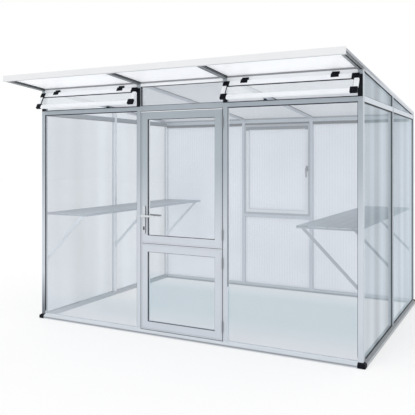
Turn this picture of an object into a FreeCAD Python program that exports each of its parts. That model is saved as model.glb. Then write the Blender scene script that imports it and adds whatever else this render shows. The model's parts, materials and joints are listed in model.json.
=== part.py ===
import FreeCAD, Part
import math
import os
from FreeCAD import Vector

# Mono-pitch garden greenhouse of aluminium bars, tall at the door and low at the back.
# Millimetres. +X runs along the front to the right, +Y from the front to the back, +Z up.
# The origin is on the ground, under the middle of the front wall.

# Overall sizes and the lines of the bars
width = 3120.0
depth = 2310.0
bar = 40.0
rail_height = 46.0
door_post_x = 427.0
ring_below_roof = 64.0
header_below_roof = 40.0
bay_header_drop = 18.0
eave_below_ring = 20.0
eave_ledge = 14.0
sill_rail_low = 845.0

# Base rails, with a sill that stands out past the walls
base_height = 40.0
sill_proud = 20.0
sill_edge = 26.0
sill_fall = 2.0
base_wall = 3.0
foot_round = 8.0

# Bar section
bar_chamfer = 1.5
bar_wall = 2.5
groove_width = 12.0
groove_depth = 10.0
glaze_out = 8.0

# Roof
roof_pitch = 4.8
roof_height = 2228.0
rafter_depth = 20.0
rafter_web = 6.0
rafter_slot = 6.0
roof_sheet = 16.0
overhang = 500.0
fascia_depth = 28.0
fascia_wall = 2.5
fascia_upstand = 28.0
roof_end_gap = 3.0
cap_width = 50.0
cap_edge = 3.0
cap_crown = 7.0
verge_drop = 2.0
verge_flange = 46.0
eave_overhang = 8.0
eave_trim_wall = 1.5
roof_seal_side = 4.0
head_seal_height = 14.0
head_seal_proud = 3.0

# Glazing
glass = 4.0
wall_sheet = 10.0
bite = 7.0
gasket_lip = 3.5
gasket_inset = 5.0

# Door leaves
door_gap = 5.0
door_split = 799.0
door_split_gap = 4.0
door_foot_gap = 4.0
door_bar = 70.0
door_recess = 2.0
door_wall = 3.0
reveal_place = 10.0
reveal_width = 2.0
reveal_depth = 1.5
stop_thick = 3.0
stop_hold = 10.0
stop_reach = 14.0

# Butt hinges
hinge_height = 90.0
hinge_from_end = 70.0
knuckle_side = 12.0
knuckle_corner = 3.5
knuckle_gap = 0.4
pin_radius = 2.5
pin_play = 0.08
hinge_plate = 2.0
hinge_plate_width = 30.0
hinge_offset = 8.0

# Lock and lever of the upper leaf
lever_height = 1045.0
plate_low = 886.0
plate_high = 1132.0
plate_width = 30.0
plate_thick = 8.0
lever_reach = 120.0
lever_thick = 11.0
lever_stand = 28.0
lever_root_radius = 10.0
lever_tip_radius = 7.5
lever_edge = 2.5
neck_radius = 9.0
neck_play = 0.3
spindle_side = 8.0
cylinder_height = 934.0
cylinder_wide = 14.0
cylinder_tall = 30.0
lock_low = 915.0
lock_high = 1085.0
lock_depth = 28.0
latch_groove_play = 3.0
latch_height = 14.0
latch_length = 26.0
latch_reach = 10.0
latch_play = 0.3
latch_tip = 2.0
keep_thick = 2.0
keep_width = 20.0
keep_height = 120.0

# Bolt that ties the two leaves together on the inside
tie_side = 10.0
tie_length = 190.0
tie_below_split = 6.0
tie_guide_height = 22.0
tie_guide_side = 20.0
tie_play = 0.3
tie_knob_half = 4.0
tie_knob_corner = 2.3
tie_knob_reach = 16.0
tie_lower_guide = 150.0
tie_knob_rest = 6.0
tie_keep_above = 12.0

# Top-hung vents over the glass bays
vent_overlap = 7.0
vent_bar = 34.0
vent_top_bar = 44.0
vent_depth = 20.0
vent_wall = 2.0
vent_clear = 2.3
vent_pane_cover = 2.0
vent_corner_width = 56.0
vent_corner_height = 46.0
vent_corner_proud = 1.5
vent_open = 29.0
vent_pivot_above = 9.0
vent_pivot_out = 14.0
seal_thick = 2.0
seal_overlap = 6.0
seal_edge = 3.0

# Hinge clips of the vents
clip_width = 60.0
clip_from_end = 185.0
clip_plate = 3.0
clip_plate_height = 20.0
clip_cover = 26.0
clip_knuckle = 7.0
clip_knuckle_corner = 4.0
clip_pin_radius = 2.5

# Stays of the vents
stay_from_post = 350.0
stay_length = 190.0
stay_width = 16.0
stay_thick = 4.0
stay_slot = 7.0
stay_slots = 4
stay_slot_pitch = 32.0
stay_pivot_above = 16.0
stay_pivot_in = 12.3
stay_tilt = 9.0
stay_pin_radius = 2.5
stay_eye_corner = 2.3
stay_ear = 3.0
stay_ear_rise = 6.0
stay_ear_tail = 5.0
stay_ear_gap = 0.4
rest_width = 24.0
rest_length = 26.0
rest_gap = 0.5

# Window in the back wall
window_gap = 5.0
window_bar = 44.0
window_handle_height = 1436.0
handle_base_width = 24.0
handle_base_height = 64.0
handle_base_thick = 10.0
handle_neck_radius = 7.0
handle_neck_length = 22.0
handle_length = 96.0
handle_thick = 12.0
handle_tip_radius = 6.0

# Shelves and their braces
shelf_height = 1025.0
shelf_width = 489.0
shelf_wall = 2.0
shelf_edge = 20.0
shelf_return = 12.0
shelf_lip = 56.0
shelf_rib = 3.0
shelf_rib_width = 8.0
shelf_ribs = 5
shelf_clear = 8.0
brace_width = 16.0
brace_depth = 26.0
brace_wall = 2.0
brace_foot = 560.0
foot_plate = 3.0
foot_plate_height = 70.0

# Places worked out from the sizes
slope = math.tan(math.radians(roof_pitch))
transom_low = roof_height - depth * slope - ring_below_roof
header_low = roof_height - header_below_roof
bay_header_low = header_low - bay_header_drop
eave_low = transom_low - eave_below_ring
half_bar = bar / 2
half_width = width / 2
post_x = half_width - half_bar
back_y = depth - bar
middle_y = back_y / 2
transom_high = transom_low + rail_height
sill_rail_high = sill_rail_low + rail_height
front_face = -half_bar
door_edge = door_post_x - half_bar
bay_inner = door_post_x + half_bar
bay_outer = post_x - half_bar
base_reach = half_bar + sill_proud
vent_low = transom_high - vent_overlap
vent_high = bay_header_low + vent_overlap
door_depth = bar - door_recess
latch_width = groove_width - latch_groove_play
roof_run = depth / math.cos(math.radians(roof_pitch)) + eave_overhang


def at(axis, along, a, b):
    if axis == "x":
        return Vector(along, a, b)
    if axis == "y":
        return Vector(a, along, b)
    return Vector(a, b, along)


def wire(points):
    return Part.makePolygon(points + [points[0]])


def prism(points, push):
    return Part.Face(wire(points)).extrude(push)


def block(low, high):
    size = [high[i] - low[i] for i in range(3)]
    return Part.makeBox(size[0], size[1], size[2], Vector(*low))


def rod(radius, start, end):
    line = end - start
    return Part.makeCylinder(radius, line.Length, start, line)


def mirrored(shape):
    return shape.mirror(Vector(0, 0, 0), Vector(1, 0, 0))


def both_sides(shapes):
    return shapes + [mirrored(shape) for shape in shapes]


def save(name, shapes):
    Part.makeCompound(shapes).exportStep("parts/" + name + ".step")


def extrusion(axis, start, end, outline, hollow, centre):
    """A bar: an outline in its two cross directions, run along one axis."""
    a0, b0 = centre
    push = at(axis, end - start, 0, 0)
    solid = prism([at(axis, start, a0 + a, b0 + b) for a, b in outline], push)
    if hollow:
        solid = solid.cut(prism([at(axis, start, a0 + a, b0 + b) for a, b in hollow], push))
    return solid


def rectangle(a0, a1, b0, b1):
    return [(a0, b0), (a1, b0), (a1, b1), (a0, b1)]


def octagon(half, corner):
    """Square outline round the origin, with its corners cut off."""
    flat = half - corner
    points = [(half, -flat), (half, flat), (flat, half), (-flat, half)]
    return points + [(-a, -b) for a, b in points]


def bar_outline(size_a, size_b, grooved, outward):
    """Box section with chamfered edges. Sides 0 to 3 face +a, +b, -a, -b; grooves lie near the outside."""
    points = []
    for side in range(4):
        out, across = (size_a / 2, size_b / 2) if side % 2 == 0 else (size_b / 2, size_a / 2)
        run = [(out, -across + bar_chamfer)]
        if side in grooved:
            along = outward[1] if side % 2 == 0 else -outward[0]
            if side > 1:
                along = -along
            near, far = along * glaze_out - groove_width / 2, along * glaze_out + groove_width / 2
            run += [(out, near), (out - groove_depth, near), (out - groove_depth, far), (out, far)]
        run.append((out, across - bar_chamfer))
        for a, b in run:
            for turn in range(side):
                a, b = -b, a
            points.append((a, b))
    return points


def wall_bar(axis, start, end, centre, grooved, outward, height=bar):
    inner = bar / 2 - groove_depth - bar_wall
    tall = height / 2 - groove_depth - bar_wall
    hollow = rectangle(-inner, inner, -tall, tall)
    return extrusion(axis, start, end, bar_outline(bar, height, grooved, outward), hollow, centre)


def offset_polygon(points, distance):
    """Move every edge of a convex outline, given anticlockwise, outwards."""
    moved = []
    count = len(points)
    for i in range(count):
        before, here, after = points[i - 1], points[i], points[(i + 1) % count]
        ux, uy = here[0] - before[0], here[1] - before[1]
        vx, vy = after[0] - here[0], after[1] - here[1]
        ul, vl = math.hypot(ux, uy), math.hypot(vx, vy)
        ux, uy, vx, vy = ux / ul, uy / ul, vx / vl, vy / vl
        cross = ux * vy - uy * vx
        shift = (distance * (1 - ux * vx - uy * vy)) / cross / cross
        nx, ny = (uy + vy), -(ux + vx)
        scale = distance / (1 + ux * vx + uy * vy)
        moved.append((here[0] + nx * scale, here[1] + ny * scale))
    return moved


def pane(outline, axis, centre, thick):
    """A flat plate in a wall that faces along Y or X."""
    if axis == "y":
        points = [Vector(s, centre - thick / 2, h) for s, h in outline]
        return prism(points, Vector(0, thick, 0))
    points = [Vector(centre - thick / 2, s, h) for s, h in outline]
    return prism(points, Vector(thick, 0, 0))


def glazed(outline, axis, middle, thick, outward, bar_size):
    """One pane held in the grooves round an opening, and the gasket that lines its outer reveal."""
    centre = middle + outward * glaze_out
    sheet = pane(offset_polygon(outline, bite), axis, centre, thick)
    gasket = pane(offset_polygon(outline, groove_depth), axis, centre, groove_width)
    near, far = groove_width / 2, bar_size / 2 - glaze_out - gasket_inset
    lining = pane(outline, axis, centre + outward * (far - near) / 2, far + near)
    gasket = gasket.fuse(lining).removeSplitter()
    gasket = gasket.cut(pane(offset_polygon(outline, -gasket_lip), axis, centre, 2 * bar_size))
    return sheet, gasket.cut(sheet)


def on_roof(shape):
    """Turn a piece built flat, from the front wall's face, down to the roof's slope."""
    shape = shape.copy()
    shape.rotate(Vector(0, 0, 0), Vector(1, 0, 0), -roof_pitch)
    shape.translate(Vector(0, front_face, roof_height))
    return shape


def under_rafters(y):
    return roof_height - (y - front_face) * slope - rafter_depth / math.cos(math.radians(roof_pitch))


def below_roof(level):
    """All the space under a plane that lies at one level from the sheets' underside."""
    return on_roof(block((-width, -depth, -2 * roof_height), (width, 2 * depth, level)))


def sill_outline(outward, hollow_top):
    """Base rail across its length: the wall's own width, then the sloping sill outside."""
    near, far = glaze_out - groove_width / 2, glaze_out + groove_width / 2
    points = [(-half_bar, 0), (base_reach, 0), (base_reach, sill_edge), (half_bar, base_height)]
    if hollow_top:
        points.append((far, base_height))
        points.append((far, base_height - groove_depth))
        points.append((near, base_height - groove_depth))
        points.append((near, base_height))
    points.append((-half_bar, base_height))
    return [(outward * a, b) for a, b in points]


def sill_hollow(outward):
    low = base_wall
    high = base_height - groove_depth - base_wall
    inner = base_wall - half_bar
    outer = base_reach - base_wall
    edge = sill_edge - base_wall - sill_fall
    points = [(inner, low), (outer, low), (outer, edge), (half_bar, high), (inner, high)]
    return [(outward * a, b) for a, b in points]


def base_rails():
    front = extrusion("x", -bay_outer, bay_outer, sill_outline(-1, True), sill_hollow(-1), (0, 0))
    back = extrusion("x", -bay_outer, bay_outer, sill_outline(1, True), sill_hollow(1), (back_y, 0))
    start, end = half_bar, back_y - half_bar
    side = extrusion("y", start, end, sill_outline(1, True), sill_hollow(1), (post_x, 0))
    save("base_rails_front_back", [front, back])
    save("base_rails_side", both_sides([side]))


def pane_ends(y, outward):
    """Pockets for the lower corners of the two panes that meet at a corner post."""
    groove = groove_width / 2
    low = base_height - groove_depth
    pane_y, pane_x = y + outward * glaze_out, post_x + glaze_out
    x0, x1 = bay_outer - 1, bay_outer + groove_depth
    front = block((x0, pane_y - groove, low), (x1, pane_y + groove, base_height))
    y0, y1 = sorted((y - outward * (half_bar + 1), y - outward * (half_bar - groove_depth)))
    side = block((pane_x - groove, y0, low), (pane_x + groove, y1, base_height))
    return [front, side]


def base_corner_blocks():
    """Black corner pieces with the rails' own outline on both outer sides."""
    blocks = []
    for y, outward in ((0, -1), (back_y, 1)):
        along_x = extrusion("x", bay_outer, post_x + base_reach, sill_outline(outward, False), None, (y, 0))
        y0, y1 = sorted((y - outward * half_bar, y + outward * base_reach))
        along_y = extrusion("y", y0, y1, sill_outline(1, False), None, (post_x, 0))
        corner = along_x.common(along_y).cut(pane_ends(y, outward))
        upright = []
        for edge in corner.Edges:
            far = edge.CenterOfMass
            vertical = edge.BoundBox.ZLength > sill_edge / 2 and edge.BoundBox.XLength < 1
            if vertical and far.x > post_x + base_reach - 1 and abs(far.y - y) > base_reach - 1:
                upright.append(edge)
        blocks.append(corner.makeFillet(foot_round, upright))
    save("base_corner_blocks", both_sides(blocks))


def post(x, y, grooved, outward):
    return wall_bar("z", base_height, roof_height, (x, y), grooved, outward).common(below_roof(-rafter_depth))


def posts():
    save("corner_posts", both_sides([post(post_x, 0, (1, 2), (1, -1)), post(post_x, back_y, (2, 3), (1, 1))]))
    save("door_posts", both_sides([post(door_post_x, 0, (0, 2), (0, -1))]))
    side = post(post_x, middle_y, (1, 3), (1, 0))
    save("wall_posts", both_sides([side, post(door_post_x, back_y, (0, 2), (0, 1))]))


def rails():
    middle = transom_low + rail_height / 2
    outer = wall_bar("x", bay_inner, bay_outer, (0, middle), (3,), (-1, 0), rail_height)
    over_door = wall_bar("x", -door_edge, door_edge, (0, middle), (1,), (-1, 0), rail_height)

    place = (post_x, middle)
    side_front = wall_bar("y", half_bar, middle_y - half_bar, place, (1, 3), (1, 0), rail_height)
    side_back = wall_bar("y", middle_y + half_bar, back_y - half_bar, place, (1, 3), (1, 0), rail_height)
    save("transoms", both_sides([outer, side_front, side_back]) + [over_door])

    headers = []
    over_bay = bay_inner, bay_outer, bay_header_low, ()
    over_leaf = -door_edge, door_edge, header_low, (3,)
    for start, end, low, grooved in (over_bay, over_leaf):
        height = roof_height - low + bar_wall
        header = wall_bar("x", start, end, (0, low + height / 2), grooved, (-1, 0), height)
        headers.append(header.common(below_roof(0)))
    save("front_header", both_sides(headers[:1]) + headers[1:])


def eave_beam(start, end, grooved):
    """Back beam in two tiers: the lower one holds the sheets, the upper one is set back."""
    centre, high = (back_y, eave_low + rail_height / 2), eave_low + rail_height
    lower = wall_bar("x", start, end, centre, (3,) if grooved else (), (1, 0), rail_height)
    top = block((start, back_y - half_bar + eave_ledge, high), (end, back_y + half_bar, roof_height))
    inner = block((start, back_y - half_bar + eave_ledge + bar_wall, high + bar_wall),
                  (end, back_y + half_bar - bar_wall, under_rafters(back_y)))
    return lower.fuse(top.common(below_roof(-eave_trim_wall)).cut(inner)).removeSplitter()


def back_rails():
    centre = (back_y, sill_rail_low + rail_height / 2)
    sill_rail = wall_bar("x", -door_edge, door_edge, centre, (3,), (1, 0), rail_height)
    beams = both_sides([eave_beam(bay_inner, bay_outer, True)]) + [eave_beam(-door_edge, door_edge, False)]
    save("back_eave_beam", beams)
    save("window_sill_rail", [sill_rail])


def rafter_outline(slot_place, slot_width, slot_depth, web):
    half = half_bar
    near, far = slot_place - slot_width / 2, slot_place + slot_width / 2
    points = [(-half, 0), (-half, -rafter_depth)]
    points.append((near, -rafter_depth))
    points.append((near, slot_depth - rafter_depth))
    points.append((far, slot_depth - rafter_depth))
    points.append((far, -rafter_depth))
    points += [(half, -rafter_depth), (half, 0)]
    if web:
        side = rafter_web / 2
        points += [(side, 0), (side, roof_sheet), (-side, roof_sheet), (-side, 0)]
    return points


def roof_frame():
    start, end = fascia_wall - overhang, roof_run
    inner = half_bar - bar_wall
    hollow = rectangle(-inner, inner, groove_depth + bar_wall - rafter_depth, -bar_wall)
    verge = rafter_outline(glaze_out, groove_width, groove_depth, False)
    verge = extrusion("y", start, end, verge, hollow, (post_x, 0))
    middle = rafter_outline(0, rafter_slot, rafter_slot, True)
    middle = extrusion("y", start, end, middle, hollow, (door_post_x, 0))
    ends = middle_y, back_y - half_bar
    side_top = block((post_x - bar, ends[0], transom_low), (post_x + bar, ends[1], transom_high))
    save("rafters_verge", both_sides([on_roof(verge).cut(side_top)]))
    save("rafters_middle", both_sides([on_roof(middle)]))

    reach = half_width + fascia_wall
    back = fascia_depth - overhang
    face = fascia_wall - overhang
    under, over = -rafter_depth - fascia_wall, roof_sheet + fascia_wall
    outline = [(-overhang, under), (back, under), (back, -rafter_depth), (face, -rafter_depth)]
    outline += [(face, roof_sheet), (back, roof_sheet), (back, over), (face, over)]
    outline += [(face, fascia_upstand), (-overhang, fascia_upstand)]
    fascia = extrusion("x", -reach, reach, outline, None, (0, 0))
    save("fascia_rail", [on_roof(fascia)])


def roof_cover():
    start, end = fascia_wall - overhang + roof_end_gap, roof_run
    web = rafter_web / 2
    middle = block((web - door_post_x, start, 0), (door_post_x - web, end, roof_sheet))
    outer = block((door_post_x + web, start, 0), (half_width, end, roof_sheet))
    save("roof_sheets", both_sides([on_roof(outer)]) + [on_roof(middle)])

    behind = fascia_depth - overhang
    half = cap_width / 2
    crown = half / 2
    outline = [(-half, 0), (half, 0), (half, cap_edge), (crown, cap_crown)]
    outline += [(-crown, cap_crown), (-half, cap_edge)]
    cap = extrusion("y", behind, end, outline, None, (door_post_x, roof_sheet))
    face = half_width + fascia_wall
    top = roof_sheet + fascia_wall
    outline = [(half_width, -verge_drop), (face, -verge_drop), (face, top), (face - verge_flange, top)]
    outline += [(face - verge_flange, roof_sheet), (half_width, roof_sheet)]
    verge = extrusion("y", behind, end, outline, None, (0, 0))
    save("roof_cap_bars", both_sides([on_roof(cap)]))
    save("verge_caps", both_sides([on_roof(verge)]))

    wall = eave_trim_wall
    lip = end - eave_overhang - bar + eave_ledge
    outline = [(lip, -wall), (end + wall, -wall), (end + wall, roof_sheet + wall), (end, roof_sheet + wall)]
    outline += [(end, 0), (lip, 0)]
    pieces = []
    for x0, x1 in ((-door_post_x + half_bar, door_post_x - half_bar), (bay_inner, bay_outer)):
        pieces.append(on_roof(extrusion("x", x0, x1, outline, None, (0, 0))))
    save("eave_trim", pieces + [mirrored(pieces[1])])


def roof_seals():
    """Black strips beside the rafters under the sheets, and along the top of the front header."""
    side, gap = roof_seal_side, roof_end_gap
    strips = []
    for edge, inward in ((bay_outer, -1), (bay_inner, 1), (door_edge, -1)):
        x0, x1 = sorted((edge, edge + inward * side))
        outer = on_roof(block((x0, fascia_wall - overhang + gap, -side), (x1, -gap - head_seal_proud, 0)))
        inner = on_roof(block((x0, bar + gap, -side), (x1, depth - 2 * bar, 0)))
        strips += both_sides([outer, inner])
    low, front = roof_height - head_seal_height, front_face - head_seal_proud
    strips += both_sides([block((bay_inner, front, low), (bay_outer, front_face, roof_height))])
    strips.append(block((-door_edge, front, low), (door_edge, front_face, roof_height)))
    save("roof_seals", strips)


def panes():
    gaskets = []

    def fit(outline, axis, centre, thick, outward=1, held=None):
        sheet, gasket = glazed(outline, axis, centre, thick, outward, bar)
        if held:
            sheet, gasket = sheet.common(held), gasket.common(held)
        gaskets.append(gasket)
        return sheet

    bay = rectangle(bay_inner, bay_outer, base_height, transom_low)
    over_door = rectangle(-door_edge, door_edge, transom_high, header_low)
    front = fit(bay, "y", 0, glass, -1)

    ends = ((half_bar, middle_y - half_bar), (middle_y + half_bar, back_y - half_bar))
    sides = [fit(rectangle(y0, y1, base_height, transom_low), "x", post_x, glass) for y0, y1 in ends]
    save("side_glass", both_sides(sides))

    y0, y1 = ends[0]
    outline = [(y0, transom_high), (y1, transom_high), (y1, under_rafters(y1)), (y0, under_rafters(y0))]
    gables = [fit(outline, "x", post_x, glass)]
    y0, y1 = ends[1]
    tip = y0 + (under_rafters(y0) - transom_high) / slope
    outline = [(y0, transom_high), (tip, transom_high), (y0, under_rafters(y0))]
    held = block((0, middle_y, 0), (width, y1 - bite, 2 * roof_height))
    gables.append(fit(outline, "x", post_x, glass, 1, held))
    save("gable_glass", both_sides(gables))

    back = fit(rectangle(bay_inner, bay_outer, base_height, eave_low), "y", back_y, wall_sheet)
    pairs = both_sides(gaskets)
    top_light, top_gasket = glazed(over_door, "y", 0, glass, -1, bar)
    reach = half_bar - gasket_inset
    inner = pane(over_door, "y", (reach - glaze_out) / 2, reach + glaze_out)
    inner = inner.cut([pane(offset_polygon(over_door, -gasket_lip), "y", 0, 2 * bar), top_light])
    top_gasket = top_gasket.fuse(inner).removeSplitter()
    lower = rectangle(-door_edge, door_edge, base_height, sill_rail_low)
    back_lower, lower_gasket = glazed(lower, "y", back_y, wall_sheet, 1, bar)
    save("front_glass", both_sides([front]) + [top_light])
    save("back_sheets", both_sides([back]) + [back_lower])
    save("wall_gaskets", pairs + [top_gasket, lower_gasket])


def mitred_bars(x0, x1, z0, z1, bar_width, y0, y1, outline, hollow):
    """Four bars round a leaf, cut at 45 degrees. Outline runs from the outer edge inwards."""
    spare = bar_width / 4
    far = bar_width + spare
    left = [(x0 - spare, z0 - spare), (x0 + far, z0 + far), (x0 + far, z1 - far), (x0 - spare, z1 + spare)]
    right = [(x1 + spare, z0 - spare), (x1 - far, z0 + far), (x1 - far, z1 - far), (x1 + spare, z1 + spare)]
    bottom = [(x0 - spare, z0 - spare), (x1 + spare, z0 - spare), (x1 - far, z0 + far), (x0 + far, z0 + far)]
    top = [(x0 - spare, z1 + spare), (x1 + spare, z1 + spare), (x1 - far, z1 - far), (x0 + far, z1 - far)]
    bars = []
    for edge, inward, ends in ((x0, 1, left), (x1, -1, right)):
        shape = [[(edge + inward * u, v) for u, v in points] for points in (outline, hollow)]
        bars.append((extrusion("z", z0 - 2 * spare, z1 + 2 * spare, *shape, (0, 0)), ends))
    for edge, inward, ends in ((z0, 1, bottom), (z1, -1, top)):
        shape = [[(v, edge + inward * u) for u, v in points] for points in (outline, hollow)]
        bars.append((extrusion("x", x0 - 2 * spare, x1 + 2 * spare, *shape, (0, 0)), ends))
    push = Vector(0, y1 - y0 + 2 * spare, 0)
    cut_bars = []
    for bar_solid, ends in bars:
        cut_bars.append(bar_solid.common(prism([Vector(x, y0 - spare, z) for x, z in ends], push)))
    return cut_bars


def leaf_outline(bar_width, y0, y1, outside):
    """Leaf bar across its length, with the pane's groove and a thin reveal outside."""
    middle = (y0 + y1) / 2 + outside * glaze_out
    groove = groove_width / 2
    points = [(0, y0), (bar_width, y0), (bar_width, middle - groove)]
    points += [(bar_width - groove_depth, middle - groove), (bar_width - groove_depth, middle + groove)]
    points += [(bar_width, middle + groove), (bar_width, y1), (0, y1)]
    face, inward = (y0, 1) if outside < 0 else (y1, -1)
    near, far = reveal_place, reveal_place + reveal_width
    floor = face + inward * reveal_depth
    reveal = [(near, face), (near, floor), (far, floor), (far, face)]
    if outside < 0:
        return points[:1] + reveal + points[1:]
    return points[:7] + reveal[::-1] + points[7:]


def leaf(sides, heights, bar_width, faces, outside, thick):
    """Bars, pane and gasket of one leaf, between two sides, two heights and its two faces."""
    (x0, x1), (z0, z1), (y0, y1) = sides, heights, faces
    outline = leaf_outline(bar_width, y0, y1, outside)
    hollow = rectangle(door_wall, bar_width - groove_depth - door_wall, y0 + door_wall, y1 - door_wall)
    bars = mitred_bars(x0, x1, z0, z1, bar_width, y0, y1, outline, hollow)
    opening = rectangle(x0 + bar_width, x1 - bar_width, z0 + bar_width, z1 - bar_width)
    sheet, gasket = glazed(opening, "y", (y0 + y1) / 2, thick, outside, y1 - y0)
    return bars, sheet, gasket


def hinge():
    """Butt hinge about the local Z axis: fixed half to +X, moving half to -X, plates in the gap at +Y."""
    third = hinge_height / 3
    face = hinge_offset

    def knuckle(z0, z1):
        points = octagon(knuckle_side / 2, knuckle_corner)
        return prism([Vector(x, y, z0) for x, y in points], Vector(0, 0, z1 - z0))

    def plate(sign, y, z0, z1):
        x0, x1 = sorted((sign * door_gap / 2, sign * (door_gap / 2 - hinge_plate)))
        return block((x0, y, z0), (x1, face + hinge_plate_width, z1))

    neck = pin_radius + hinge_plate / 2
    fixed = [rod(pin_radius, Vector(0, 0, 1), Vector(0, 0, hinge_height - 1))]
    for z0, z1 in ((0, third - knuckle_gap), (2 * third + knuckle_gap, hinge_height)):
        fixed += [knuckle(z0, z1), plate(1, neck, z0, z1)]
    fixed_half = plate(1, face, 0, hinge_height).fuse(fixed).removeSplitter()

    moving = [knuckle(third, 2 * third), plate(-1, neck, third, 2 * third)]
    moving = plate(-1, face, 0, hinge_height).fuse(moving)
    moving_half = moving.cut(rod(pin_radius + pin_play, Vector(0, 0, 0), Vector(0, 0, hinge_height)))
    return fixed_half, moving_half.removeSplitter()


def placed_hinges(heights, x, y, turned):
    fixed_half, moving_half = hinge()
    fixed, moving = [], []
    for z in heights:
        for half, group in ((fixed_half, fixed), (moving_half, moving)):
            piece = half.copy()
            if turned:
                piece.rotate(Vector(0, 0, 0), Vector(0, 0, 1), 180)
            piece.translate(Vector(x, y, z))
            group.append(piece)
    return fixed, moving


def cut_corner_plate(x, z0, z1, y0, y1, plate_w, corner):
    """Plate that faces along Y, with its four corners cut off."""
    half = plate_w / 2
    points = [(half - corner, z0), (half, z0 + corner), (half, z1 - corner), (half - corner, z1)]
    points += [(corner - half, z1), (-half, z1 - corner), (-half, z0 + corner), (corner - half, z0)]
    return prism([Vector(x + a, y0, b) for a, b in points], Vector(0, y1 - y0, 0))


def lever_blade(x, z, y0, y1, dx, dz, root, tip):
    """Tapered lever blade seen from the front, with cut corners and chamfered long edges."""
    length = math.hypot(dx, dz)
    ux, uz = dx / length, dz / length
    outline = [(-root, -root / 2), (-root / 2, -root), (length, -tip), (length + tip, -tip / 2)]
    outline += [(length + tip, tip / 2), (length, tip), (-root / 2, root), (-root, root / 2)]
    points = [Vector(x + a * ux - b * uz, y0, z + a * uz + b * ux) for a, b in outline]
    blade = prism(points, Vector(0, y1 - y0, 0))
    rim = [edge for edge in blade.Edges if edge.BoundBox.YLength < lever_edge]
    return blade.makeChamfer(lever_edge, rim)


leaf_x = door_edge - door_gap
leaf_front = front_face
leaf_back = front_face + door_depth
lock_x = -leaf_x + door_bar / 2


def door_lock_parts():
    """Lock case, long plates and cylinder, the lever pair on its spindle, and the latch."""
    case_front = (leaf_front + leaf_back - lock_depth) / 2
    case_back = case_front + lock_depth
    case_x0 = -leaf_x + door_wall
    case_x1 = -leaf_x + door_bar - groove_depth - door_wall
    middle = -glaze_out
    latch_nose = -leaf_x - latch_reach
    latch_tail = latch_nose + latch_length
    room_y = latch_width / 2 + latch_play
    room_z = latch_height / 2 + latch_play
    room = block((latch_nose - 1, middle - room_y, lever_height - room_z),
                 (lock_x - spindle_side, middle + room_y, lever_height + room_z))
    far = plate_thick + lever_stand
    y0, y1 = leaf_front - far, leaf_back + far
    turn = spindle_side
    spindle_room = block((lock_x - turn, y0, lever_height - turn), (lock_x + turn, y1, lever_height + turn))
    line = Vector(lock_x, y0, lever_height), Vector(lock_x, y1, lever_height)
    neck_room = rod(neck_radius + neck_play, *line)
    y0, y1 = leaf_front - plate_thick - 1, leaf_back + plate_thick + 1
    low, high = cylinder_height - cylinder_tall / 2, cylinder_height + cylinder_tall / 2
    cylinder = cut_corner_plate(lock_x, low, high, y0, y1, cylinder_wide, cylinder_wide / 4)
    cuts = [room, spindle_room, cylinder]
    case = block((case_x0, case_front, lock_low), (case_x1, case_back, lock_high)).cut(cuts)
    plates = []
    for y0, y1 in ((leaf_front - plate_thick, leaf_front), (leaf_back, leaf_back + plate_thick)):
        plate = cut_corner_plate(lock_x, plate_low, plate_high, y0, y1, plate_width, plate_width / 4)
        plates.append(plate.cut([neck_room, cylinder]))

    out = leaf_front - far
    back = leaf_back + far
    half = spindle_side / 2
    low, high = lever_height - half, lever_height + half
    lever = block((lock_x - half, leaf_front - 1, low), (lock_x + half, leaf_back + 1, high))
    pieces = []
    radii = lever_root_radius, lever_tip_radius
    for y0, y1, neck_end in ((out - lever_thick, out, leaf_front), (back, back + lever_thick, leaf_back)):
        pieces.append(lever_blade(lock_x, lever_height, y0, y1, lever_reach, 0, *radii))
        near = y1 if y1 <= neck_end else y0
        line = Vector(lock_x, near, lever_height), Vector(lock_x, neck_end, lever_height)
        pieces.append(rod(neck_radius, *line))
    lever = lever.fuse(pieces).removeSplitter()

    half = latch_width / 2
    bevel = latch_nose + latch_reach - latch_tip
    outline = [(latch_tail, middle - half), (latch_nose, middle - half), (bevel, middle + half)]
    outline.append((latch_tail, middle + half))
    low = lever_height - latch_height / 2
    latch = prism([Vector(x, y, low) for x, y in outline], Vector(0, 0, latch_height))
    low, high = lever_height - keep_height / 2, lever_height + keep_height / 2
    keep = cut_corner_plate(0, low, high, 0, keep_thick, keep_width, keep_width / 4)
    keep.rotate(Vector(0, 0, 0), Vector(0, 0, 1), -90)
    keep.translate(Vector(-door_edge, middle, 0))
    return cuts, plates + [case, cylinder], lever, latch, keep.cut(room)


def tie_bolt_parts():
    """Sliding bolt on the lower leaf's inner face, and its keep on the upper leaf."""
    y = leaf_back + tie_guide_side / 2
    top = door_split - tie_below_split
    bottom = top - tie_length
    guide_low = door_split - tie_lower_guide
    thick = tie_side / 2
    bolt = block((lock_x - thick, y - thick, bottom), (lock_x + thick, y + thick, top))
    knob_z = guide_low + tie_guide_height + tie_knob_half + tie_knob_rest
    points = octagon(tie_knob_half, tie_knob_corner)
    knob = prism([Vector(lock_x + a, y, knob_z + b) for a, b in points], Vector(0, tie_knob_reach, 0))
    half = tie_guide_side / 2
    way = thick + tie_play
    bore = block((lock_x - way, y - way, 0), (lock_x + way, y + way, roof_height))
    guides = []
    inner = leaf_back + tie_guide_side
    for z in (guide_low, door_split - tie_guide_height):
        guide = block((lock_x - half, leaf_back, z), (lock_x + half, inner, z + tie_guide_height))
        guides.append(guide.cut(bore))
    low = door_split + door_split_gap + tie_keep_above
    high = low + tie_guide_height
    keep = [block((lock_x - half, leaf_back, low), (lock_x - way, inner, high))]
    keep.append(block((lock_x + way, leaf_back, low), (lock_x + half, inner, high)))
    keep.append(block((lock_x - way, y + way, low), (lock_x + way, inner, high)))
    return bolt.fuse(knob).removeSplitter(), guides, keep


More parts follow.
